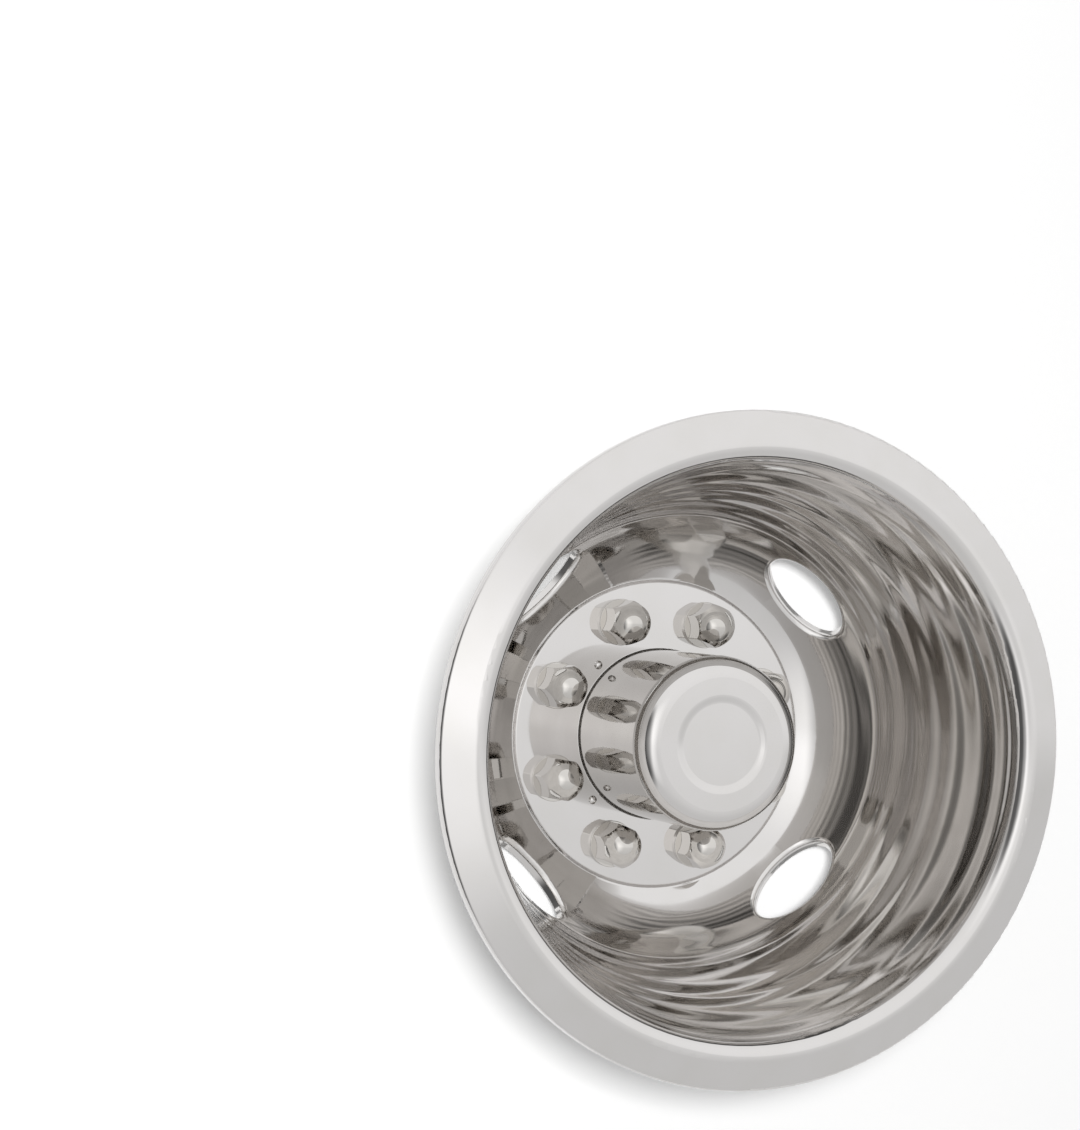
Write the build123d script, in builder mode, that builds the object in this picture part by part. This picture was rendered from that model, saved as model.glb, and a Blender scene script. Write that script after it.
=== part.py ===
from build123d import *
import os
from math import cos, radians, sin, sqrt, tan

# A deep-dish wheel simulator for the outer rear wheel of a dual-wheel truck.
# A spun stainless liner carries a riveted hub cover, and nut covers with moulded grips
# that push onto the wheel's own lug nuts.
# It lies on its back: +Z points out of the dish, and the origin is under the hub's centre.
# Lengths are in millimetres, angles in degrees, and a bend is the radius on its inner side.

# Stainless sheet of the liner and of the hub cover
sheet = 1.0

# Lug nuts of the wheel that is covered
lug_count = 8
lug_circle = 165.1
lug_nut_flats = 22.2

# Liner, with heights measured from the front of its centre plate
lip_width = 32.75
lip_height = 165.2
lip_slope = 22.0
lip_turn_back = 6.5
lip_edge_bend = 2.0
shoulder_bend = 8.0
barrel_draft = 15.0
dish_land = 1.3
ring_width = 38.4
ring_slope = 20.0
plate_margin = 4.25
plate_step = 2.0
step_bend = 0.6

# Hand holes, set where the dish has this slope
hand_hole_count = 4
hand_hole_slope = 50.0
hand_hole_length = 69.0
hand_hole_width = 36.0
hand_hole_rim = 6.0
hand_hole_round = 4.0

# Hub cover
hub_height = 107.0
hub_edge_bend = 13.0
hub_recess_diameter = 56.0
hub_recess_depth = 1.2
hub_recess_ramp = 4.0
hub_recess_bend = 5.0
hub_foot_bend = 1.0
hub_flange_width = 4.5
hub_flange_gap = 1.65
hub_opening_gap = 1.2

# Rivets that hold the hub cover
rivet_count = 4
rivet_edge = 5.9
rivet_shank = 3.2
rivet_head_diameter = 6.0
rivet_head_height = 1.6
rivet_tail_diameter = 4.8
rivet_tail_height = 1.2
rivet_clearance = 0.05
rivet_ear_margin = 2.5

# Nut covers
cover_wall = 1.2
cover_height = 30.0
cover_edge_round = 0.8
cover_skirt_lap = 1.0
cover_skirt_height = 2.5
cover_skirt_round = 0.4
cover_neck_wall = 0.6
cover_neck_clearance = 0.2

# Grips inside the nut covers
grip_collar_lap = 3.0
grip_collar_height = 2.5
grip_length = 16.0
grip_wall = 0.9
grip_fit = 0.1
grip_nut_clearance = 0.2
grip_mouth_clearance = 0.15
grip_rib_width = 1.5
grip_rib_height = 0.4

# Levels and radii that follow from these
plate_back = grip_collar_height
plate_front = plate_back + sheet
flange_back = plate_back - sheet
lug_start = 180 / lug_count
grip_bore_flats = lug_nut_flats + 2 * grip_nut_clearance
grip_mouth_radius = grip_bore_flats / sqrt(3) + grip_mouth_clearance
grip_outer_flats = grip_bore_flats + 2 * grip_wall
cover_cavity_flats = grip_outer_flats + 2 * grip_fit
cover_flats = cover_cavity_flats + 2 * cover_wall
cover_dome_radius = cover_flats / sqrt(3)
cover_neck_radius = cover_cavity_flats / sqrt(3) + cover_neck_wall
lug_hole_radius = cover_neck_radius + cover_neck_clearance
hollow_radius = grip_bore_flats / 2
collar_radius = lug_hole_radius + grip_collar_lap
plate_radius = lug_circle / 2 + collar_radius + plate_margin
hub_radius = lug_circle / 2 - collar_radius - hub_flange_gap - hub_flange_width
hub_opening_radius = hub_radius + hub_opening_gap
rivet_radius = hub_opening_radius + rivet_edge


def crossing(point_a, slope_a, point_b, slope_b):
    """Point where two lines meet, each given by a point and its slope in degrees."""
    along_a = Vector(cos(radians(slope_a)), sin(radians(slope_a)))
    along_b = Vector(cos(radians(slope_b)), sin(radians(slope_b)))
    apart = Vector(*point_b) - Vector(*point_a)
    reach = apart.cross(along_b).Z / along_a.cross(along_b).Z
    return tuple(Vector(*point_a) + along_a * reach)[:2]


# Corners of the liner's front face, as radius and height, from the hub opening outwards
plate_edge = (plate_radius, plate_front)
ring_root = (plate_radius + plate_step, plate_front - plate_step)
dish_corner = (ring_root[0] + ring_width, ring_root[1] + ring_width * tan(radians(ring_slope)))
lip_level = plate_front + lip_height
barrel_slope = 90 - barrel_draft
barrel_top = crossing(dish_corner, barrel_slope, (0, lip_level), 0)
lip_edge = (barrel_top[0] + lip_width, lip_level)
shoulder = crossing(barrel_top, barrel_slope, lip_edge, -lip_slope)

# Bend of the dish, from the ring's short land up to the barrel
dish_bend_run = ring_width / cos(radians(ring_slope)) - dish_land
dish_bend = dish_bend_run / tan(radians(barrel_slope - ring_slope) / 2)
bend_centre = (
    ring_root[0] + dish_land * cos(radians(ring_slope)) - dish_bend * sin(radians(ring_slope)),
    ring_root[1] + dish_land * sin(radians(ring_slope)) + dish_bend * cos(radians(ring_slope)),
)

# Planes of the hand holes, square to the dish and set back far enough to cut right through it
hole_reach = hand_hole_length / 2
hole_lean = radians(hand_hole_slope)
first_hole = Plane(
    origin=(bend_centre[0] + dish_bend * sin(hole_lean), 0, bend_centre[1] - dish_bend * cos(hole_lean)),
    x_dir=(0, 1, 0),
    z_dir=(-sin(hole_lean), 0, cos(hole_lean)),
).offset(-hole_reach)
hole_planes = [Plane(turn * first_hole.location) for turn in PolarLocations(0, hand_hole_count)]

# Plane of the liner's section, midway between the hand holes
liner_section = Plane(origin=(0, 0, 0), x_dir=(1, 1, 0), z_dir=(1, -1, 0))

# Oval pads under the hand holes, which become their turned rims once the holes are cut
with BuildPart() as hand_hole_pads:
    with BuildSketch(liner_section):
        with BuildLine():
            pad_front = CenterArc(bend_centre, dish_bend + sheet / 2, ring_slope - 90, barrel_slope - ring_slope)
            pad_back = CenterArc(
                bend_centre, dish_bend + sheet + hand_hole_rim, ring_slope - 90, barrel_slope - ring_slope
            )
            Line(pad_front @ 0, pad_back @ 0)
            Line(pad_front @ 1, pad_back @ 1)
        make_face()
    revolve(axis=Axis.Z)
    with BuildSketch(*hole_planes):
        Ellipse(hand_hole_length / 2 + sheet, hand_hole_width / 2 + sheet)
    extrude(amount=2 * hole_reach, mode=Mode.INTERSECT)

# Liner: lip, barrel, sloping ring and plate spun from one sheet, then pierced
with BuildPart() as wheel_liner:
    with BuildSketch(liner_section):
        with BuildLine():
            front = FilletPolyline(
                (hub_opening_radius, plate_front),
                plate_edge,
                ring_root,
                dish_corner,
                shoulder,
                lip_edge,
                (lip_edge[0], lip_edge[1] - lip_turn_back),
                radius=[
                    step_bend + sheet,
                    step_bend,
                    dish_bend,
                    shoulder_bend + sheet,
                    lip_edge_bend + sheet,
                ],
            )
            offset(front, amount=sheet, side=Side.RIGHT)
        make_face()
    revolve(axis=Axis.Z)
    add(hand_hole_pads.part)
    fillet(wheel_liner.edges(Select.LAST).sort_by(Axis.Z)[-hand_hole_count:], hand_hole_round - sheet)
    with BuildSketch(*hole_planes):
        Ellipse(hand_hole_length / 2, hand_hole_width / 2)
    extrude(amount=2 * hole_reach, mode=Mode.SUBTRACT)
    fillet(wheel_liner.edges(Select.LAST).sort_by(Axis.Z)[-hand_hole_count:], hand_hole_round)
    with PolarLocations(lug_circle / 2, lug_count, start_angle=lug_start):
        Hole(lug_hole_radius)
    with PolarLocations(rivet_radius, rivet_count):
        Hole(rivet_shank / 2 + rivet_clearance)

# Hub cover: a drawn cup whose foot turns out under the plate, with ears for the rivets
with BuildPart() as hub_cover:
    with BuildSketch(Plane.XZ):
        with BuildLine():
            face_level = plate_front + hub_height
            recess_radius = hub_recess_diameter / 2
            outside = FilletPolyline(
                (0, face_level - hub_recess_depth),
                (recess_radius, face_level - hub_recess_depth),
                (recess_radius + hub_recess_ramp, face_level),
                (hub_radius, face_level),
                (hub_radius, plate_back),
                (hub_radius + hub_flange_width, plate_back),
                radius=[
                    hub_recess_bend,
                    hub_recess_bend + sheet,
                    hub_edge_bend + sheet,
                    hub_foot_bend,
                ],
            )
            offset(outside, amount=sheet, side=Side.RIGHT)
        make_face()
    revolve(axis=Axis.Z)
    with BuildSketch(Plane.XY.offset(flange_back)):
        with PolarLocations(rivet_radius, rivet_count):
            Circle(rivet_tail_diameter / 2 + rivet_ear_margin)
        Circle(hub_opening_radius, mode=Mode.SUBTRACT)
    extrude(amount=sheet)
    with PolarLocations(rivet_radius, rivet_count):
        Hole(rivet_shank / 2 + rivet_clearance)

# Rivets: a domed head on the plate, and a tail set under the hub cover's ears
with BuildPart() as rivet:
    with BuildSketch(Plane.XZ):
        with BuildLine():
            head_radius = rivet_head_diameter / 2
            tail_level = flange_back - rivet_tail_height
            RadiusArc(
                (head_radius, plate_front),
                (0, plate_front + rivet_head_height),
                -(head_radius**2 + rivet_head_height**2) / (2 * rivet_head_height),
            )
            Polyline(
                (0, plate_front + rivet_head_height),
                (0, tail_level),
                (rivet_tail_diameter / 2, tail_level),
                (rivet_tail_diameter / 2, flange_back),
                (rivet_shank / 2, flange_back),
                (rivet_shank / 2, plate_front),
                (head_radius, plate_front),
            )
        make_face()
    revolve(axis=Axis.Z)

with BuildPart() as hub_rivets:
    with PolarLocations(rivet_radius, rivet_count):
        add(rivet.part)

# Nut cover: a hexagonal cap with a domed end, on a round skirt, with a neck through the plate
with BuildPart() as nut_cover:
    with BuildSketch(Plane.XY.offset(plate_front)):
        RegularPolygon(cover_flats / 2, 6, major_radius=False, rotation=30)
    extrude(amount=cover_height)
    fillet(nut_cover.edges().filter_by(Axis.Z), cover_edge_round)
    dome_centre = plate_front + cover_height - cover_dome_radius
    with BuildSketch(Plane.XZ):
        with BuildLine():
            Polyline(
                (0, plate_front + cover_height),
                (0, plate_front),
                (cover_dome_radius, plate_front),
                (cover_dome_radius, dome_centre),
            )
            RadiusArc((cover_dome_radius, dome_centre), (0, plate_front + cover_height), -cover_dome_radius)
        make_face()
    revolve(axis=Axis.Z, mode=Mode.INTERSECT)
    with BuildSketch(Plane.XY.offset(plate_front)):
        Circle(lug_hole_radius + cover_skirt_lap)
    extrude(amount=cover_skirt_height)
    skirt_rims = nut_cover.edges(Select.LAST).filter_by(GeomType.CIRCLE).group_by(SortBy.RADIUS)[-1]
    fillet(skirt_rims.sort_by(Axis.Z)[-1], cover_skirt_round)
    with BuildSketch(Plane.XY.offset(plate_back)):
        Circle(cover_neck_radius)
    extrude(amount=sheet)
    with BuildSketch(Plane.XY.offset(plate_back)):
        RegularPolygon(cover_cavity_flats / 2, 6, major_radius=False, rotation=30)
    extrude(amount=sheet + grip_length + grip_fit, mode=Mode.SUBTRACT)
    with BuildSketch(Plane.XZ):
        with BuildLine():
            hollow_dome_radius = cover_dome_radius - cover_wall
            hollow_top = (0, dome_centre + hollow_dome_radius)
            hollow_edge = (hollow_radius, dome_centre + sqrt(hollow_dome_radius**2 - hollow_radius**2))
            Polyline(hollow_top, (0, plate_back), (hollow_radius, plate_back), hollow_edge)
            RadiusArc(hollow_edge, hollow_top, -hollow_dome_radius)
        make_face()
    revolve(axis=Axis.Z, mode=Mode.SUBTRACT)

# Grip: a ribbed hexagonal sleeve on a collar that lies against the back of the plate
with BuildPart() as lug_grip:
    with BuildSketch(Plane.XY):
        Circle(collar_radius)
    extrude(amount=grip_collar_height)
    with BuildSketch(Plane.XY.offset(plate_back)):
        RegularPolygon(grip_outer_flats / 2, 6, major_radius=False, rotation=30)
    extrude(amount=sheet + grip_length)
    with BuildSketch(Plane.XY):
        RegularPolygon(grip_bore_flats / 2, 6, major_radius=False, rotation=30)
        with PolarLocations(grip_bore_flats / 2, 6):
            Rectangle(2 * grip_rib_height, grip_rib_width, mode=Mode.SUBTRACT)
    extrude(amount=plate_front + grip_length, mode=Mode.SUBTRACT)
    with BuildSketch(Plane.XY):
        Circle(grip_mouth_radius)
    extrude(amount=grip_collar_height, mode=Mode.SUBTRACT)

os.makedirs("parts", exist_ok=True)

wheel_liner.part.label = "wheel_liner"
export_step(wheel_liner.part, "parts/wheel_liner.step")

hub_cover.part.label = "hub_cover"
export_step(hub_cover.part, "parts/hub_cover.step")

hub_rivets.part.label = "hub_rivets"
export_step(hub_rivets.part, "parts/hub_rivets.step")

lug_places = PolarLocations(lug_circle / 2, lug_count, start_angle=lug_start)
for number, place in enumerate(lug_places, start=1):
    with BuildPart() as placed_cover:
        with Locations(place):
            add(nut_cover.part)
    placed_cover.part.label = f"nut_cover_{number}"
    export_step(placed_cover.part, f"parts/nut_cover_{number}.step")

    with BuildPart() as placed_grip:
        with Locations(place):
            add(lug_grip.part)
    placed_grip.part.label = f"lug_grip_{number}"
    export_step(placed_grip.part, f"parts/lug_grip_{number}.step")
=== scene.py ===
from math import cos, pi, radians, sin

import bmesh
import bpy
from bpy.props import FloatProperty, FloatVectorProperty, IntProperty, PointerProperty, StringProperty
from mathutils import Matrix, Vector

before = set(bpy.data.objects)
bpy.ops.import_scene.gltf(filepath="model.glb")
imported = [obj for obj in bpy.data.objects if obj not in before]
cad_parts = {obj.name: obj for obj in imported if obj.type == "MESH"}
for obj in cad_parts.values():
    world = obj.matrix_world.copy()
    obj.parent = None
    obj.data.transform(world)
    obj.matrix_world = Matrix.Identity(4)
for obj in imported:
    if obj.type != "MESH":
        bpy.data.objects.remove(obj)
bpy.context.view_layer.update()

bl_info = {
    "name": "Wheel Simulator",
    "version": (1, 0, 0),
    "blender": (4, 5, 0),
    "location": "3D View > Sidebar > Wheel",
    "description": "Finishes a deep-dish truck wheel simulator and sets its studio",
    "category": "Object",
}

# Direction of the wheel's axis
AXIS = (0.0, 0.0, 1.0)

# Heights over which the barrel's wall begins and radii over which it ends at the lip, in metres. The wall
# carries the tool's rings and a lighter tone painted into its polish
WALL_FOOT = (0.004, 0.035)
WALL_MOUTH = (0.1845, 0.187)

# Reach of a hand hole's polished rim, where 1 is its opening
HOLE_RIM = 1.015

# Least rise of a facing that belongs to the liner's front
FRONT_RISE = 0.02

# Rise of the facing over which the hub cover's flank turns into its face, and the shade painted on the
# flank fades into the face's polish
HUB_TURN = (0.2, 0.8)

# Facets lean to the side by less than the first share, and rims of holes by more than the second
FACET_LEAN = (0.05, 0.12)

# Levels of noise between which the polish turns hazy and the nylon blooms
HAZE_EDGE = (0.35, 0.75)
BLOOM_EDGE = (0.4, 0.7)

# Edges of the room's window half and of its dark corner, as cosines from their directions
WINDOW_EDGE = (-0.12, 0.02)
CORNER_EDGE = (0.72, 0.92)

# Middle of a lamp, and distances from it over which the soft box fades, as shares of the lamp's side
LAMP_MIDDLE = (0.5, 0.5, 0.0)
BOX_FADE = (0.05, 0.5)

# Width of the camera's film, in millimetres
FILM_WIDTH = 36.0

WHITE = "FFFFFF"

# A Map Range node that eases in and out, and the colour sockets of a Mix node
EASED = {"interpolation_type": "SMOOTHSTEP"}
MIX_SHARE, MIX_FROM, MIX_TO, MIXED = 0, 6, 7, 2


class SteelSettings(bpy.types.PropertyGroup):
    """Stainless sheet of the liner, the hub cover, the rivets and the nut covers."""

    polish: StringProperty(name="Polish", description="Colour of the polished front", default="CFCDCC")
    haze: StringProperty(name="Haze", description="Colour where the polish is hazy", default="CAC8C5")
    # Deep is the same steel as the polish: a lighter tone painted into the barrel's polish, to brighten the
    # barrel's reflections
    deep: StringProperty(
        name="Deep", description="Colour of the polish deep in the barrel", default="DFDDDB"
    )
    cover: StringProperty(name="Cover", description="Colour of the nut covers", default="C6C3BF")
    # Drawn is the flank's colour with shade painted into it: the flank is painted darker than the face
    drawn: StringProperty(
        name="Drawn", description="Colour of the hub cover's drawn flank", default="BDBAB7"
    )
    mill: StringProperty(name="Mill", description="Colour of the unpolished back", default="A9A8A5")
    gloss: FloatProperty(
        name="Gloss", description="Roughness of the clean polish", default=0.045, subtype="FACTOR"
    )
    satin: FloatProperty(
        name="Satin", description="Roughness of the polish in the barrel", default=0.058, subtype="FACTOR"
    )
    dull_least: FloatProperty(
        name="Dull least",
        description="Least roughness of the unpolished back",
        default=0.31,
        subtype="FACTOR",
    )
    dull_most: FloatProperty(
        name="Dull most",
        description="Most roughness of the unpolished back",
        default=0.44,
        subtype="FACTOR",
    )
    haze_size: FloatProperty(
        name="Haze size", description="Size of the polish's hazy patches", default=0.035, unit="LENGTH"
    )
    haze_share: FloatProperty(
        name="Haze share",
        description="How far a patch takes the hazy colour",
        default=0.5,
        subtype="FACTOR",
    )
    haze_gain: FloatProperty(
        name="Haze gain", description="How many times rougher a hazy patch is", default=1.6
    )
    grain_width: FloatProperty(
        name="Grain width", description="Width of the back's rolling grain", default=0.0006, unit="LENGTH"
    )
    grain_length: FloatProperty(
        name="Grain length", description="Length of the back's rolling grain", default=0.015, unit="LENGTH"
    )
    grain_depth: FloatProperty(
        name="Grain depth",
        description="Depth of the back's rolling grain",
        default=0.000012,
        precision=6,
        unit="LENGTH",
    )
    swell_pitch: FloatProperty(
        name="Swell pitch", description="Spacing of the barrel's broad swells", default=0.04, unit="LENGTH"
    )
    swell_depth: FloatProperty(
        name="Swell depth",
        description="Depth of the barrel's broad swells",
        default=0.0018,
        precision=6,
        unit="LENGTH",
    )
    swell_drift: FloatProperty(
        name="Swell drift", description="Drift of the swells round the axis, in pitches", default=0.5
    )
    ring_pitch: FloatProperty(
        name="Ring pitch", description="Spacing of the spinning tool's rings", default=0.022, unit="LENGTH"
    )
    ring_depth: FloatProperty(
        name="Ring depth",
        description="Depth of the spinning tool's rings",
        default=0.00048,
        precision=6,
        unit="LENGTH",
    )
    ring_wander: FloatProperty(
        name="Ring wander", description="How far the rings follow the swells, in pitches", default=1.0
    )
    fine_pitch: FloatProperty(
        name="Fine pitch",
        description="Spacing of the fine lines between the rings",
        default=0.01,
        unit="LENGTH",
    )
    fine_depth: FloatProperty(
        name="Fine depth",
        description="Depth of the fine lines",
        default=0.00028,
        precision=6,
        unit="LENGTH",
    )
    fine_drift: FloatProperty(
        name="Fine drift", description="Drift of the fine lines round the axis, in pitches", default=0.06
    )
    hub_depth: FloatProperty(
        name="Hub depth",
        description="Depth of the hub cover's rings",
        default=0.000048,
        precision=6,
        unit="LENGTH",
    )
    hub_drift: FloatProperty(
        name="Hub drift",
        description="Drift of the hub cover's rings round the axis, in pitches",
        default=0.3,
    )
    dimple_size: FloatProperty(
        name="Dimple size", description="Size of the nut covers' dimples", default=0.006, unit="LENGTH"
    )
    dimple_depth: FloatProperty(
        name="Dimple depth",
        description="Depth of the nut covers' dimples",
        default=0.00002,
        precision=6,
        unit="LENGTH",
    )
    wave_length: FloatProperty(
        name="Wave length", description="Length of the sheet's slow waves", default=0.09, unit="LENGTH"
    )
    wave_depth: FloatProperty(
        name="Wave depth",
        description="Depth of the sheet's slow waves",
        default=0.00012,
        precision=6,
        unit="LENGTH",
    )
    lip_radius: FloatProperty(
        name="Lip radius",
        description="Radius from which the turned-back lip edge starts",
        default=0.2185,
        unit="LENGTH",
    )
    hole_radius: FloatProperty(
        name="Hole radius",
        description="Distance of a hand hole from the axis",
        default=0.1403,
        unit="LENGTH",
    )
    hole_level: FloatProperty(
        name="Hole level", description="Height of a hand hole's centre", default=0.0245, unit="LENGTH"
    )
    hole_slope: FloatProperty(
        name="Hole slope",
        description="Slope of the dish at a hand hole",
        default=radians(50),
        subtype="ANGLE",
    )
    hole_length: FloatProperty(
        name="Hole length", description="Longer opening of a hand hole", default=0.069, unit="LENGTH"
    )
    hole_width: FloatProperty(
        name="Hole width", description="Shorter opening of a hand hole", default=0.036, unit="LENGTH"
    )


class NylonSettings(bpy.types.PropertyGroup):
    """Moulded nylon of the grips."""

    body: StringProperty(name="Body", description="Colour of the nylon", default="18181A")
    bloom: StringProperty(name="Bloom", description="Colour of the nylon's bloom", default="262628")
    bloom_size: FloatProperty(
        name="Bloom size", description="Size of the bloom's patches", default=0.012, unit="LENGTH"
    )
    grain_size: FloatProperty(
        name="Grain size", description="Size of the moulded grain", default=0.0008, unit="LENGTH"
    )
    grain_depth: FloatProperty(
        name="Grain depth",
        description="Depth of the moulded grain",
        default=0.00006,
        precision=6,
        unit="LENGTH",
    )
    grain_strength: FloatProperty(
        name="Grain strength", description="How strongly the grain shows", default=0.4, subtype="FACTOR"
    )
    satin_least: FloatProperty(
        name="Satin least", description="Least roughness of the nylon", default=0.38, subtype="FACTOR"
    )
    satin_most: FloatProperty(
        name="Satin most", description="Most roughness of the nylon", default=0.6, subtype="FACTOR"
    )
    ior: FloatProperty(name="IOR", description="Index of refraction of nylon", default=1.53)


class StudioSettings(bpy.types.PropertyGroup):
    """Camera, light and floor."""

    place: FloatVectorProperty(
        name="Place",
        description="Place of the camera",
        default=(-0.6858, -0.5258, 1.9523),
        subtype="TRANSLATION",
    )
    right: FloatVectorProperty(
        name="Right", description="Direction to the camera's right", default=(0.62767, 0.68772, 0.36478)
    )
    up: FloatVectorProperty(
        name="Up", description="Direction up from the camera", default=(-0.73443, 0.67852, -0.01550)
    )
    lens: FloatProperty(name="Lens", description="Focal length of the camera, in millimetres", default=98.0)
    box_place: FloatVectorProperty(
        name="Soft box place", description="Centre of the overhead soft box", default=(-0.78, -0.91, 2.31)
    )
    box_size: FloatProperty(
        name="Soft box size", description="Side of the overhead soft box", default=3.4, unit="LENGTH"
    )
    box_level: FloatProperty(
        name="Soft box level",
        description="Brightness at the soft box's centre, where 1 is white",
        default=0.45,
    )
    key_place: FloatVectorProperty(
        name="Key place",
        description="Centre of the key lamp, beside the camera",
        default=(-1.3, -0.58, 3.72),
    )
    key_size: FloatProperty(name="Key size", description="Side of the key lamp", default=0.6, unit="LENGTH")
    key_power: FloatProperty(
        name="Key power", description="Power of the key lamp", default=118.0, unit="POWER"
    )
    bright_side: FloatVectorProperty(
        name="Bright side", description="Direction of the room's brighter side", default=(-0.4, 0.5, 0.77)
    )
    bright_share: FloatProperty(
        name="Bright share", description="How much brighter that side is", default=0.2
    )
    window_side: FloatVectorProperty(
        name="Window side",
        description="Direction of the half of the room that has the windows",
        default=(-0.7, 0.7, 0.0),
    )
    window_share: FloatProperty(
        name="Window share", description="How much brighter that half is", default=0.16
    )
    dark_side: FloatVectorProperty(
        name="Dark side", description="Direction of the room's dark corner", default=(-0.56, -0.72, 0.41)
    )
    dark_share: FloatProperty(
        name="Dark share",
        description="Share of the light that is left in the dark corner",
        default=0.15,
        subtype="FACTOR",
    )
    dim_level: FloatProperty(
        name="Dim level", description="Brightness of the rest of the room, where 1 is white", default=0.82
    )
    room_share: FloatProperty(
        name="Room share", description="Share of the room's light that falls on dull surfaces", default=0.2
    )
    paper: StringProperty(name="Paper", description="Colour of the floor's paper", default="F2F2F2")
    fibre: StringProperty(name="Fibre", description="Colour of the paper's fibres", default="F6F6F6")
    fibre_size: FloatProperty(
        name="Fibre size", description="Size of the paper's fibres", default=0.004, unit="LENGTH"
    )
    floor_reach: FloatProperty(
        name="Floor reach",
        description="Distance from the floor's centre to its sides",
        default=15.0,
        unit="LENGTH",
    )
    floor_level: FloatProperty(
        name="Floor level", description="Light that the floor shows by itself", default=0.2
    )
    far_level: FloatProperty(
        name="Far level", description="Light that the far floor shows, where 1 is white", default=0.9
    )
    near_reach: FloatProperty(
        name="Near reach", description="Distance from which the floor brightens", default=0.8, unit="LENGTH"
    )
    far_reach: FloatProperty(
        name="Far reach", description="Distance at which the floor is brightest", default=5.0, unit="LENGTH"
    )


class WheelSettings(bpy.types.PropertyGroup):
    """All settings of the wheel simulator."""

    lug_count: IntProperty(name="Lugs", description="Number of nut covers", default=8)
    steel: PointerProperty(type=SteelSettings)
    nylon: PointerProperty(type=NylonSettings)
    studio: PointerProperty(type=StudioSettings)


def linear(hex_colour):
    """Linear colour of an sRGB hex value."""
    channels = [int(hex_colour[i : i + 2], 16) / 255 for i in (0, 2, 4)]
    return (*[c / 12.92 if c <= 0.04045 else ((c + 0.055) / 1.055) ** 2.4 for c in channels], 1.0)


def add_node(tree, kind, inputs=(), **settings):
    """Adds a shader node with its settings and returns its outputs.

    An input is a value, or an output to link. Inputs without names fill the sockets in order.
    """
    node = tree.nodes.new("ShaderNode" + kind)
    for name, value in settings.items():
        setattr(node, name, value)
    sockets = inputs if isinstance(inputs, dict) else dict(enumerate(inputs))
    for key, value in sockets.items():
        if isinstance(value, bpy.types.NodeSocket):
            tree.links.new(value, node.inputs[key])
        else:
            node.inputs[key].default_value = value
    return node.outputs


def new_material(name):
    """A material with no nodes yet, and its tree."""
    material = bpy.data.materials.new(name)
    material.use_nodes = True
    material.node_tree.nodes.clear()
    return material, material.node_tree


def dress(name, material):
    """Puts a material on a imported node."""
    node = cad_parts[name]
    node.data.materials.clear()
    node.data.materials.append(material)


def axis_places(tree):
    """Place and facing of a point, its coordinates, and its radius and direction from the wheel's axis."""
    place = add_node(tree, "TexCoord")
    axes = add_node(tree, "SeparateXYZ", (place["Object"],))
    flat = add_node(tree, "CombineXYZ", (axes["X"], axes["Y"]))[0]
    radius = add_node(tree, "VectorMath", (flat,), operation="LENGTH")["Value"]
    outward = add_node(tree, "VectorMath", (flat,), operation="NORMALIZE")[0]
    return place, axes, radius, outward


def spun_facing(tree, place, outward):
    """Facing of a surface spun round the axis, without the small lean of its facets to either side."""
    around = add_node(tree, "VectorMath", (AXIS, outward), operation="CROSS_PRODUCT")[0]
    lean = add_node(tree, "VectorMath", (place["Normal"], around), operation="DOT_PRODUCT")["Value"]
    # Rims of holes lean further to the side, and keep their own facing
    lean_size = add_node(tree, "Math", (lean,), operation="ABSOLUTE")[0]
    is_facet = add_node(tree, "MapRange", (lean_size, *FACET_LEAN, 1.0, 0.0), **EASED)[0]
    facet_lean = add_node(tree, "Math", (lean, is_facet), operation="MULTIPLY")[0]
    side = add_node(tree, "VectorMath", {0: around, "Scale": facet_lean}, operation="SCALE")[0]
    straight = add_node(tree, "VectorMath", (place["Normal"], side), operation="SUBTRACT")[0]
    return add_node(tree, "VectorMath", (straight,), operation="NORMALIZE")[0]


def spun_swells(tree, axes, radius, outward, pitch, drift):
    """Uneven swells left by spinning, which drift by a share of their pitch round the axis."""
    around = add_node(tree, "SeparateXYZ", (outward,))
    drift_x = add_node(tree, "Math", (around["X"], drift * pitch), operation="MULTIPLY")[0]
    drift_y = add_node(tree, "Math", (around["Y"], drift * pitch), operation="MULTIPLY")[0]
    place = add_node(tree, "CombineXYZ", (radius, axes["Z"], drift_x))[0]
    spread = {"Vector": place, "W": drift_y, "Scale": 1 / pitch, "Detail": 0.0}
    height = add_node(tree, "TexNoise", spread, noise_dimensions="4D")["Fac"]
    # Noise goes from 0 to 1, and the swells go up and down
    return add_node(tree, "Math", (height, 0.5), operation="SUBTRACT")[0]


def tool_rings(tree, axes, swells, pitch, wander):
    """Even rings left by the spinning tool, which wander with the swells."""
    turns = add_node(tree, "Math", (axes["Z"], 2 * pi / pitch), operation="MULTIPLY")[0]
    turns = add_node(tree, "Math", (swells, 2 * pi * wander, turns), operation="MULTIPLY_ADD")[0]
    rings = add_node(tree, "Math", (turns,), operation="SINE")[0]
    # Half up and half down, as the swells are
    return add_node(tree, "Math", (rings, 0.5), operation="MULTIPLY")[0]


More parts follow.
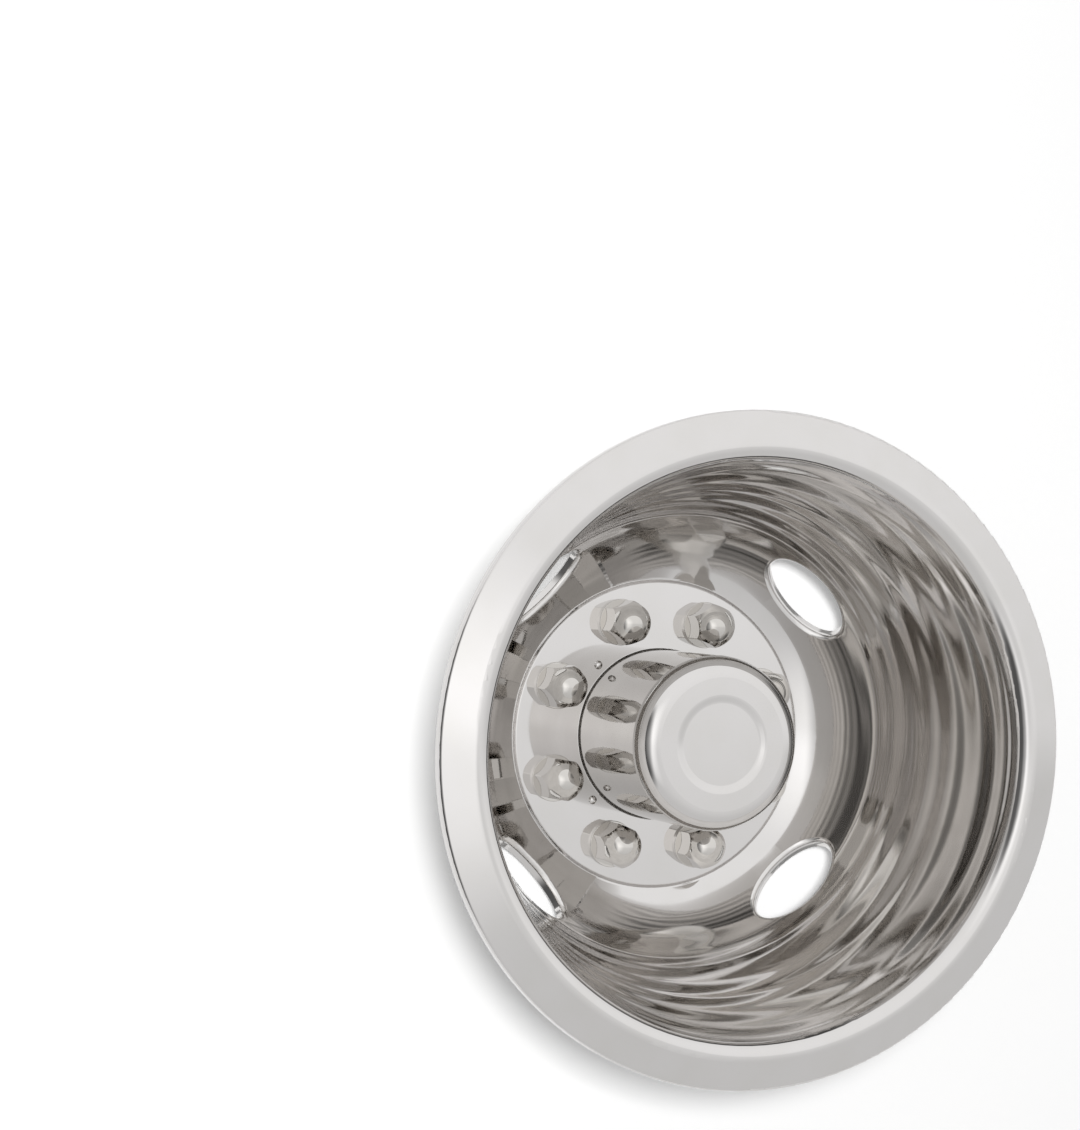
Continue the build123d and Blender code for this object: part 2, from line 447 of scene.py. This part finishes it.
def stainless(tree, place, facing, front, polish, smooth, relief):
    """Polished stainless sheet: sharp, slightly warm reflections in front, and a dull grained back.

    The relief and slow waves bend the reflections, and hazy patches soften them.
    """
    steel = bpy.context.scene.wheel.steel
    spread = {"Vector": place["Object"], "Scale": 1 / steel.wave_length, "Detail": 1.0}
    waves = add_node(tree, "TexNoise", spread, noise_dimensions="4D")["Fac"]
    spread = {"Vector": place["Object"], "Scale": 1 / steel.haze_size, "Detail": 4.0}
    patches = add_node(tree, "TexNoise", spread, noise_dimensions="4D")["Fac"]
    haze = add_node(tree, "MapRange", (patches, *HAZE_EDGE), **EASED)[0]
    # Rolling grain of the back, drawn coarser than the real tenth of a millimetre so that it still shows
    squeeze = steel.grain_width / steel.grain_length
    drawn = add_node(tree, "Mapping", {"Vector": place["Object"], "Scale": (1.0, squeeze, squeeze)})[0]
    spread = {"Vector": drawn, "Scale": 1 / steel.grain_width, "Detail": 2.0}
    grain = add_node(tree, "TexNoise", spread, noise_dimensions="4D")["Fac"]

    back = add_node(tree, "Math", (1.0, front), operation="SUBTRACT")[0]
    scratch = add_node(tree, "Math", (grain, back), operation="MULTIPLY")[0]
    height = add_node(tree, "Math", (scratch, steel.grain_depth, relief), operation="MULTIPLY_ADD")[0]
    height = add_node(tree, "Math", (waves, steel.wave_depth, height), operation="MULTIPLY_ADD")[0]
    dents = {"Strength": 1.0, "Distance": 1.0, "Height": height, "Normal": facing}
    normal = add_node(tree, "Bump", dents)[0]

    share = add_node(tree, "Math", (haze, steel.haze_share), operation="MULTIPLY")[0]
    colours = {MIX_SHARE: share, MIX_FROM: polish, MIX_TO: linear(steel.haze)}
    polished = add_node(tree, "Mix", colours, data_type="RGBA")[MIXED]
    colours = {MIX_SHARE: front, MIX_FROM: linear(steel.mill), MIX_TO: polished}
    colour = add_node(tree, "Mix", colours, data_type="RGBA")[MIXED]

    rougher = add_node(tree, "MapRange", {"Value": haze, "To Min": 1.0, "To Max": steel.haze_gain})[0]
    gloss = add_node(tree, "Math", (rougher, smooth), operation="MULTIPLY")[0]
    limits = {"Value": grain, "To Min": steel.dull_least, "To Max": steel.dull_most}
    dull = add_node(tree, "MapRange", limits)[0]
    roughness = add_node(tree, "MapRange", {"Value": front, "To Min": dull, "To Max": gloss})[0]

    surface = {"Base Color": colour, "Metallic": 1.0, "Roughness": roughness, "Normal": normal}
    shader = add_node(tree, "BsdfPrincipled", surface)
    add_node(tree, "OutputMaterial", {"Surface": shader[0]})


def liner_steel():
    """Stainless of the spun liner, polished on its front and in its hand holes, with a lighter tone painted
    into the barrel's polish to brighten its reflections.
    """
    steel = bpy.context.scene.wheel.steel
    material, tree = new_material("polished_stainless_liner")
    place, axes, radius, outward = axis_places(tree)

    # Ovals of the hand holes, measured in the plane of the nearest one
    across = add_node(tree, "Math", (axes["X"],), operation="ABSOLUTE")[0]
    along = add_node(tree, "Math", (axes["Y"],), operation="ABSOLUTE")[0]
    reach = add_node(tree, "Math", (across, along), operation="MAXIMUM")[0]
    reach = add_node(tree, "Math", (reach, steel.hole_radius), operation="SUBTRACT")[0]
    rise = add_node(tree, "Math", (axes["Z"], steel.hole_level), operation="SUBTRACT")[0]
    rise = add_node(tree, "Math", (rise, sin(steel.hole_slope)), operation="MULTIPLY")[0]
    up_slope = add_node(tree, "Math", (reach, cos(steel.hole_slope), rise), operation="MULTIPLY_ADD")[0]
    up_slope = add_node(tree, "Math", (up_slope, steel.hole_width / 2), operation="DIVIDE")[0]
    sideways = add_node(tree, "Math", (across, along), operation="MINIMUM")[0]
    sideways = add_node(tree, "Math", (sideways, steel.hole_length / 2), operation="DIVIDE")[0]
    in_plane = add_node(tree, "CombineXYZ", (up_slope, sideways))[0]
    oval = add_node(tree, "VectorMath", (in_plane,), operation="LENGTH")["Value"]

    in_hole = add_node(tree, "Math", (oval, HOLE_RIM), operation="LESS_THAN")[0]
    on_edge = add_node(tree, "Math", (radius, steel.lip_radius), operation="GREATER_THAN")[0]
    rising = add_node(tree, "SeparateXYZ", (place["Normal"],))["Z"]
    upward = add_node(tree, "Math", (rising, FRONT_RISE), operation="GREATER_THAN")[0]
    front = add_node(tree, "Math", (in_hole, on_edge), operation="MAXIMUM")[0]
    front = add_node(tree, "Math", (upward, front), operation="MAXIMUM")[0]

    above_foot = add_node(tree, "MapRange", (axes["Z"], *WALL_FOOT), **EASED)[0]
    inside_mouth = add_node(tree, "MapRange", (radius, *WALL_MOUTH, 1.0, 0.0), **EASED)[0]
    wall = add_node(tree, "Math", (above_foot, inside_mouth), operation="MULTIPLY")[0]
    swells = spun_swells(tree, axes, radius, outward, steel.swell_pitch, steel.swell_drift)
    rings = tool_rings(tree, axes, swells, steel.ring_pitch, steel.ring_wander)
    fine = spun_swells(tree, axes, radius, outward, steel.fine_pitch, steel.fine_drift)
    relief = add_node(tree, "Math", (swells, steel.swell_depth), operation="MULTIPLY")[0]
    relief = add_node(tree, "Math", (rings, steel.ring_depth, relief), operation="MULTIPLY_ADD")[0]
    relief = add_node(tree, "Math", (fine, steel.fine_depth, relief), operation="MULTIPLY_ADD")[0]
    relief = add_node(tree, "Math", (relief, wall), operation="MULTIPLY")[0]

    # Painted light: the barrel's wall takes the lighter deep tone, which brightens its reflections
    colours = {MIX_SHARE: wall, MIX_FROM: linear(steel.polish), MIX_TO: linear(steel.deep)}
    polish = add_node(tree, "Mix", colours, data_type="RGBA")[MIXED]
    smooth = add_node(tree, "MapRange", {"Value": wall, "To Min": steel.gloss, "To Max": steel.satin})[0]
    stainless(tree, place, spun_facing(tree, place, outward), front, polish, smooth, relief)
    return material


def hub_steel():
    """Stainless of the drawn hub cover and its rivets, with faint turned rings, and shade painted on its
    flank, which is darker than its face.
    """
    steel = bpy.context.scene.wheel.steel
    material, tree = new_material("polished_stainless_hub")
    place, axes, radius, outward = axis_places(tree)
    rising = add_node(tree, "SeparateXYZ", (place["Normal"],))["Z"]
    lean = add_node(tree, "VectorMath", (place["Normal"], outward), operation="DOT_PRODUCT")["Value"]
    showing = add_node(tree, "Math", (rising, lean), operation="ADD")[0]
    front = add_node(tree, "Math", (showing, 0.0), operation="GREATER_THAN")[0]
    rings = spun_swells(tree, axes, radius, outward, steel.ring_pitch, steel.hub_drift)
    relief = add_node(tree, "Math", (rings, steel.hub_depth), operation="MULTIPLY")[0]
    # Painted shade: the flank, which faces to the side, takes the darker drawn colour, and the upward face
    # takes the polish
    unshaded_face = add_node(tree, "MapRange", (rising, *HUB_TURN), **EASED)[0]
    colours = {MIX_SHARE: unshaded_face, MIX_FROM: linear(steel.drawn), MIX_TO: linear(steel.polish)}
    polish = add_node(tree, "Mix", colours, data_type="RGBA")[MIXED]
    stainless(tree, place, spun_facing(tree, place, outward), front, polish, steel.gloss, relief)
    return material


def cover_steel():
    """Stainless of the pressed nut covers, with faint dimples from the press."""
    steel = bpy.context.scene.wheel.steel
    material, tree = new_material("polished_stainless_cover")
    place = add_node(tree, "TexCoord")
    spread = {"Vector": place["Object"], "Scale": 1 / steel.dimple_size, "Detail": 1.0}
    dimples = add_node(tree, "TexNoise", spread, noise_dimensions="4D")["Fac"]
    relief = add_node(tree, "Math", (dimples, steel.dimple_depth), operation="MULTIPLY")[0]
    stainless(tree, place, place["Normal"], 1.0, linear(steel.cover), steel.gloss, relief)
    return material


def black_nylon():
    """Moulded nylon: nearly black, with a fine satin grain and a faint bloom."""
    nylon = bpy.context.scene.wheel.nylon
    material, tree = new_material("black_moulded_nylon")
    place = add_node(tree, "TexCoord")["Object"]
    spread = {"Vector": place, "Scale": 1 / nylon.grain_size, "Detail": 2.0}
    grain = add_node(tree, "TexNoise", spread, noise_dimensions="4D")["Fac"]
    spread = {"Vector": place, "Scale": 1 / nylon.bloom_size, "Detail": 3.0}
    patches = add_node(tree, "TexNoise", spread, noise_dimensions="4D")["Fac"]
    bloom = add_node(tree, "MapRange", (patches, *BLOOM_EDGE), **EASED)[0]
    colours = {MIX_SHARE: bloom, MIX_FROM: linear(nylon.body), MIX_TO: linear(nylon.bloom)}
    colour = add_node(tree, "Mix", colours, data_type="RGBA")[MIXED]
    limits = {"Value": grain, "To Min": nylon.satin_least, "To Max": nylon.satin_most}
    roughness = add_node(tree, "MapRange", limits)[0]
    dents = {"Strength": nylon.grain_strength, "Distance": nylon.grain_depth, "Height": grain}
    normal = add_node(tree, "Bump", dents)[0]
    surface = {"Base Color": colour, "Roughness": roughness, "IOR": nylon.ior, "Normal": normal}
    shader = add_node(tree, "BsdfPrincipled", surface)
    add_node(tree, "OutputMaterial", {"Surface": shader[0]})
    return material


class WHEEL_OT_liner(bpy.types.Operator):
    """Finishes the spun liner: lip, barrel, dish and plate"""

    bl_idname = "wheel.liner"
    bl_label = "Liner"

    def execute(self, context):
        dress("wheel_liner", liner_steel())
        return {"FINISHED"}


class WHEEL_OT_hub_cover(bpy.types.Operator):
    """Finishes the hub cover and its rivets"""

    bl_idname = "wheel.hub_cover"
    bl_label = "Hub cover"

    def execute(self, context):
        steel = hub_steel()
        dress("hub_cover", steel)
        dress("hub_rivets", steel)
        return {"FINISHED"}


class WHEEL_OT_nut_covers(bpy.types.Operator):
    """Finishes the nut covers and the grips inside them"""

    bl_idname = "wheel.nut_covers"
    bl_label = "Nut covers"

    def execute(self, context):
        steel = cover_steel()
        nylon = black_nylon()
        for number in range(1, context.scene.wheel.lug_count + 1):
            dress(f"nut_cover_{number}", steel)
            dress(f"lug_grip_{number}", nylon)
        return {"FINISHED"}


def seen_rays(tree):
    """One for rays that show a surface: from the camera, or by reflection or glass."""
    path = add_node(tree, "LightPath")
    seen = add_node(tree, "Math", (path["Is Camera Ray"], path["Is Glossy Ray"]), operation="MAXIMUM")[0]
    return add_node(tree, "Math", (seen, path["Is Transmission Ray"]), operation="MAXIMUM")[0]


def studio_floor(studio):
    """A wide sheet of white paper that keeps the shadow and stays white past the lamps' reach."""
    material, tree = new_material("white_studio_paper")
    place = add_node(tree, "TexCoord")["Object"]
    spread = {"Vector": place, "Scale": 1 / studio.fibre_size, "Detail": 2.0}
    fibre = add_node(tree, "TexNoise", spread, noise_dimensions="4D")["Fac"]
    colours = {MIX_SHARE: fibre, MIX_FROM: linear(studio.paper), MIX_TO: linear(studio.fibre)}
    colour = add_node(tree, "Mix", colours, data_type="RGBA")[MIXED]
    away = add_node(tree, "VectorMath", (place,), operation="LENGTH")["Value"]
    limits = (studio.near_reach, studio.far_reach, studio.floor_level, studio.far_level)
    level = add_node(tree, "MapRange", (away, *limits), **EASED)[0]
    level = add_node(tree, "Math", (seen_rays(tree), level), operation="MULTIPLY")[0]
    surface = {
        "Base Color": colour,
        "Roughness": 0.9,
        "Specular IOR Level": 0.0,
        "Emission Color": linear(WHITE),
        "Emission Strength": level,
    }
    shader = add_node(tree, "BsdfPrincipled", surface)
    add_node(tree, "OutputMaterial", {"Surface": shader[0]})

    bm = bmesh.new()
    bmesh.ops.create_grid(bm, x_segments=1, y_segments=1, size=studio.floor_reach)
    mesh = bpy.data.meshes.new("studio_floor")
    bm.to_mesh(mesh)
    bm.free()
    mesh.materials.append(material)
    floor = bpy.data.objects.new("studio_floor", mesh)
    bpy.context.scene.collection.objects.link(floor)


def white_room(studio):
    """A white room, brighter overhead and by its windows, with a dark corner for the steel to show."""
    room = bpy.data.worlds.new("white_room")
    room.use_nodes = True
    tree = room.node_tree
    tree.nodes.clear()
    ray = add_node(tree, "TexCoord")["Generated"]
    side = add_node(tree, "VectorMath", (ray, studio.bright_side), operation="DOT_PRODUCT")["Value"]
    limits = (0.0, 1.0, studio.dim_level, studio.dim_level + studio.bright_share)
    level = add_node(tree, "MapRange", (side, *limits), **EASED)[0]
    half = add_node(tree, "VectorMath", (ray, studio.window_side), operation="DOT_PRODUCT")["Value"]
    windows = add_node(tree, "MapRange", (half, *WINDOW_EDGE, 0.0, studio.window_share), **EASED)[0]
    level = add_node(tree, "Math", (level, windows), operation="ADD")[0]
    corner = add_node(tree, "VectorMath", (ray, studio.dark_side), operation="DOT_PRODUCT")["Value"]
    remains = add_node(tree, "MapRange", (corner, *CORNER_EDGE, 1.0, studio.dark_share), **EASED)[0]
    # The dark corner shows in the steel, and the view past the wheel stays pale
    view = add_node(tree, "LightPath")["Is Camera Ray"]
    remains = add_node(tree, "Math", (remains, view), operation="MAXIMUM")[0]
    level = add_node(tree, "Math", (level, remains), operation="MULTIPLY")[0]
    limits = {"Value": seen_rays(tree), "To Min": studio.room_share, "To Max": 1.0}
    share = add_node(tree, "MapRange", limits)[0]
    level = add_node(tree, "Math", (level, share), operation="MULTIPLY")[0]
    air = add_node(tree, "Background", {"Color": linear(WHITE), "Strength": level})
    add_node(tree, "OutputWorld", {"Surface": air[0]})
    bpy.context.scene.world = room


def hang_lamp(name, place, size, power):
    """A square lamp that faces the wheel and that the camera doesn't see."""
    lamp = bpy.data.lights.new(name, "AREA")
    lamp.size = size
    lamp.energy = power
    holder = bpy.data.objects.new(name, lamp)
    holder.location = place
    holder.rotation_euler = (-holder.location).to_track_quat("-Z", "Y").to_euler()
    holder.visible_camera = False
    bpy.context.scene.collection.objects.link(holder)
    return holder


def key_lamp(studio):
    """A lamp beside the camera, for the shadow on the floor."""
    holder = hang_lamp("key_lamp", studio.key_place, studio.key_size, studio.key_power)
    holder.visible_glossy = False


def soft_box(studio):
    """A large overhead lamp whose light fades out towards its edges."""
    power = studio.box_level * pi * studio.box_size**2
    lamp = hang_lamp("soft_box", studio.box_place, studio.box_size, power).data
    lamp.use_nodes = True
    tree = lamp.node_tree
    tree.nodes.clear()
    spot = add_node(tree, "NewGeometry")["Parametric"]
    away = add_node(tree, "VectorMath", (spot, LAMP_MIDDLE), operation="DISTANCE")["Value"]
    level = add_node(tree, "MapRange", (away, *BOX_FADE, 1.0, 0.0), **EASED)[0]
    glow = add_node(tree, "Emission", {"Strength": level})
    add_node(tree, "OutputLight", {"Surface": glow[0]})


def photo_camera(studio):
    """A camera at the photograph's viewing angle."""
    lens = bpy.data.cameras.new("photo_camera")
    lens.lens = studio.lens
    lens.sensor_width = FILM_WIDTH
    camera = bpy.data.objects.new("photo_camera", lens)
    right = Vector(studio.right).normalized()
    back = right.cross(Vector(studio.up)).normalized()
    turn = Matrix((right, back.cross(right), back)).transposed()
    camera.matrix_world = Matrix.Translation(studio.place) @ turn.to_4x4()
    bpy.context.scene.collection.objects.link(camera)
    bpy.context.scene.camera = camera


class WHEEL_OT_stage(bpy.types.Operator):
    """Sets the floor, the room, the soft box, the key lamp and the camera"""

    bl_idname = "wheel.stage"
    bl_label = "Studio"

    def execute(self, context):
        studio = context.scene.wheel.studio
        context.scene.view_settings.view_transform = "Standard"
        # The dish shows reflections of reflections
        context.scene.cycles.max_bounces = 16
        context.scene.cycles.glossy_bounces = 14
        studio_floor(studio)
        white_room(studio)
        soft_box(studio)
        key_lamp(studio)
        photo_camera(studio)
        return {"FINISHED"}


OPERATORS = (WHEEL_OT_liner, WHEEL_OT_hub_cover, WHEEL_OT_nut_covers, WHEEL_OT_stage)


class WHEEL_PT_panel(bpy.types.Panel):
    """Lists the pieces, the studio and their settings"""

    bl_idname = "WHEEL_PT_panel"
    bl_label = "Wheel Simulator"
    bl_space_type = "VIEW_3D"
    bl_region_type = "UI"
    bl_category = "Wheel"

    def draw(self, context):
        for operator in OPERATORS:
            self.layout.operator(operator.bl_idname)
        wheel = context.scene.wheel
        self.layout.prop(wheel, "lug_count")
        for group in (wheel.steel, wheel.nylon, wheel.studio):
            box = self.layout.box()
            for name in type(group).__annotations__:
                box.prop(group, name)


CLASSES = (SteelSettings, NylonSettings, StudioSettings, WheelSettings, *OPERATORS, WHEEL_PT_panel)


def register():
    for cls in CLASSES:
        bpy.utils.register_class(cls)
    bpy.types.Scene.wheel = PointerProperty(type=WheelSettings)


def unregister():
    del bpy.types.Scene.wheel
    for cls in reversed(CLASSES):
        bpy.utils.unregister_class(cls)


def main():
    register()
    bpy.ops.wheel.liner()
    bpy.ops.wheel.hub_cover()
    bpy.ops.wheel.nut_covers()
    bpy.ops.wheel.stage()


if __name__ == "__main__":
    main()
